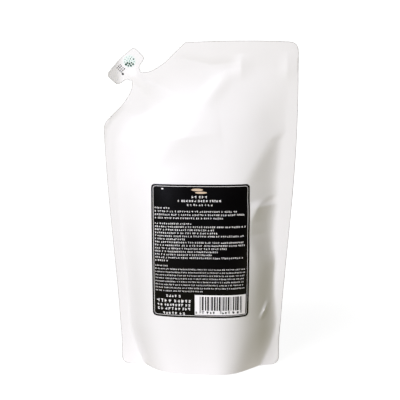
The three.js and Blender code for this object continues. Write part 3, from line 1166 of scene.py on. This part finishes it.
def area_lamp(name, azimuth, elevation, power, colour=WHITE):
    """A soft box aimed at the pouch. Azimuth 0 is in front of it and 90 to its right."""
    data = bpy.data.lights.new(name, "AREA")
    data.size = LAMP_WIDTH
    data.energy = power
    data.color = colour
    lamp = bpy.data.objects.new(name, data)
    a, e = math.radians(azimuth), math.radians(elevation)
    away = Vector((math.sin(a) * math.cos(e), -math.cos(a) * math.cos(e), math.sin(e)))
    lamp.visible_camera = False
    lamp.location = LAMP_AIM + LAMP_DISTANCE * away
    lamp.rotation_euler = (-away).to_track_quat("-Z", "Y").to_euler()
    bpy.context.scene.collection.objects.link(lamp)


def build_camera(s):
    scene = bpy.context.scene
    angle = math.radians(s.elevation)
    data = bpy.data.cameras.new("camera")
    data.sensor_width = SENSOR_WIDTH
    data.lens = s.lens
    data.shift_x, data.shift_y = SHIFT_RIGHT / PICTURE_WIDTH, SHIFT_UP / PICTURE_WIDTH
    camera = bpy.data.objects.new("camera", data)
    camera.location = (0, -s.distance * math.cos(angle), s.aim + s.distance * math.sin(angle))
    camera.rotation_euler = (math.pi / 2 - angle, 0, 0)
    scene.collection.objects.link(camera)
    scene.camera = camera


def build_world(s):
    """White behind everything for the camera, and hardly any light for the pouch."""
    world = bpy.data.worlds.new("studio")
    bpy.context.scene.world = world
    world.use_nodes = True
    tree = world.node_tree
    tree.nodes.clear()
    seen = node(tree, "ShaderNodeLightPath").outputs["Is Camera Ray"]
    fill = node(tree, "ShaderNodeBackground", {"Color": WHITE, "Strength": s.fill})
    white = node(tree, "ShaderNodeBackground", {"Color": WHITE, "Strength": 1.0})
    mixed = node(tree, "ShaderNodeMixShader", {0: seen, 1: fill.outputs[0], 2: white.outputs[0]})
    node(tree, "ShaderNodeOutputWorld", {"Surface": mixed.outputs[0]})


def floor_material(s):
    # Matt card that keeps the pouch's shadow close by and runs out into plain white.
    material = empty_material("Floor, matt white")
    tree = material.node_tree
    seen = node(tree, "ShaderNodeLightPath").outputs["Is Camera Ray"]
    place = node(tree, "ShaderNodeTexCoord").outputs["Object"]
    away = node(tree, "ShaderNodeVectorMath", {0: place}, operation="LENGTH").outputs["Value"]
    card = node(tree, "ShaderNodeBsdfDiffuse", {"Color": tuple(s.floor)})
    glow = node(tree, "ShaderNodeEmission", {"Color": WHITE, "Strength": FLOOR_GLOW})
    start, end = FLOOR_FADE
    fade = node(
        tree,
        "ShaderNodeMapRange",
        {"Value": away, "From Min": start, "From Max": end, "To Min": FLOOR_LEAST, "To Max": 1.0},
        interpolation_type="SMOOTHSTEP",
    ).outputs["Result"]
    white = node(tree, "ShaderNodeMixShader", {0: fade, 1: card.outputs[0], 2: glow.outputs[0]})
    # The light it throws back at the pouch is dim and warm, but stronger and whiter at the foot.
    far = node(tree, "ShaderNodeEmission", {"Color": tuple(s.bounce), "Strength": s.bounced})
    near = node(tree, "ShaderNodeEmission", {"Color": tuple(s.near_paint), "Strength": s.near})
    start, end = FOOT_BOUNCE
    close = node(
        tree,
        "ShaderNodeMapRange",
        {"Value": away, "From Min": start, "From Max": end, "To Min": 1.0, "To Max": 0.0},
        interpolation_type="SMOOTHSTEP",
    ).outputs["Result"]
    bounce = node(tree, "ShaderNodeMixShader", {0: close, 1: far.outputs[0], 2: near.outputs[0]})
    mixed = node(tree, "ShaderNodeMixShader", {0: seen, 1: bounce.outputs[0], 2: white.outputs[0]})
    node(tree, "ShaderNodeOutputMaterial", {"Surface": mixed.outputs[0]})
    return material


def build_stage(s):
    bpy.context.scene.view_settings.view_transform = "Standard"
    build_camera(s)
    area_lamp("key_low", -29, 26, s.key, COOL_LIGHT)
    area_lamp("key_high", -25, 44, s.key * s.high_share, WARM_LIGHT)
    area_lamp("back_left", -160, 4, s.back)
    area_lamp("back_right", 165, 4, s.back)
    build_world(s)
    r = FLOOR_REACH
    corners = [(-r, -r, 0), (r, -r, 0), (r, r, 0), (-r, r, 0)]
    floor = new_object("floor", corners, [(0, 1, 2, 3)], [floor_material(s)])


# Operators and panel


class POUCH_OT_film(bpy.types.Operator):
    """Build the filled film body with its spout and gusset."""

    bl_idname = "pouch.film"
    bl_label = "Build film body"

    def execute(self, context):
        build_pouch(context.scene.pouch)
        return {"FINISHED"}


class POUCH_OT_label(bpy.types.Operator):
    """Build the black label."""

    bl_idname = "pouch.label"
    bl_label = "Build label"

    def execute(self, context):
        build_label(context.scene.pouch_label, context.scene.pouch)
        return {"FINISHED"}


class POUCH_OT_print(bpy.types.Operator):
    """Build the print of the label and of the tab."""

    bl_idname = "pouch.print"
    bl_label = "Build print"

    def execute(self, context):
        build_label_print(context.scene.pouch_label, context.scene.pouch)
        build_tab_print(context.scene.pouch_label, context.scene.pouch)
        return {"FINISHED"}


class POUCH_OT_stage(bpy.types.Operator):
    """Set up the camera, lamps and floor."""

    bl_idname = "pouch.stage"
    bl_label = "Build stage"

    def execute(self, context):
        build_stage(context.scene.pouch_stage)
        return {"FINISHED"}


class POUCH_PT_panel(bpy.types.Panel):
    """The pouch's settings and the buttons that build it."""

    bl_label = "Refill pouch"
    bl_space_type = "VIEW_3D"
    bl_region_type = "UI"
    bl_category = "Pouch"

    def draw(self, context):
        for group in (context.scene.pouch, context.scene.pouch_label, context.scene.pouch_stage):
            box = self.layout.box()
            for name in group.__annotations__:
                box.prop(group, name)
        for operator in ("pouch.film", "pouch.label", "pouch.print", "pouch.stage"):
            self.layout.operator(operator)


CLASSES = (
    PouchSettings,
    LabelSettings,
    StageSettings,
    POUCH_OT_film,
    POUCH_OT_label,
    POUCH_OT_print,
    POUCH_OT_stage,
    POUCH_PT_panel,
)


def register():
    for cls in CLASSES:
        bpy.utils.register_class(cls)
    bpy.types.Scene.pouch = PointerProperty(type=PouchSettings)
    bpy.types.Scene.pouch_label = PointerProperty(type=LabelSettings)
    bpy.types.Scene.pouch_stage = PointerProperty(type=StageSettings)


def unregister():
    del bpy.types.Scene.pouch_stage
    del bpy.types.Scene.pouch_label
    del bpy.types.Scene.pouch
    for cls in reversed(CLASSES):
        bpy.utils.unregister_class(cls)


def main():
    register()
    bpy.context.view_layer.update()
    bpy.ops.pouch.film()
    bpy.ops.pouch.label()
    bpy.ops.pouch.print()
    bpy.ops.pouch.stage()
    bpy.context.view_layer.update()


if __name__ == "__main__":
    main()
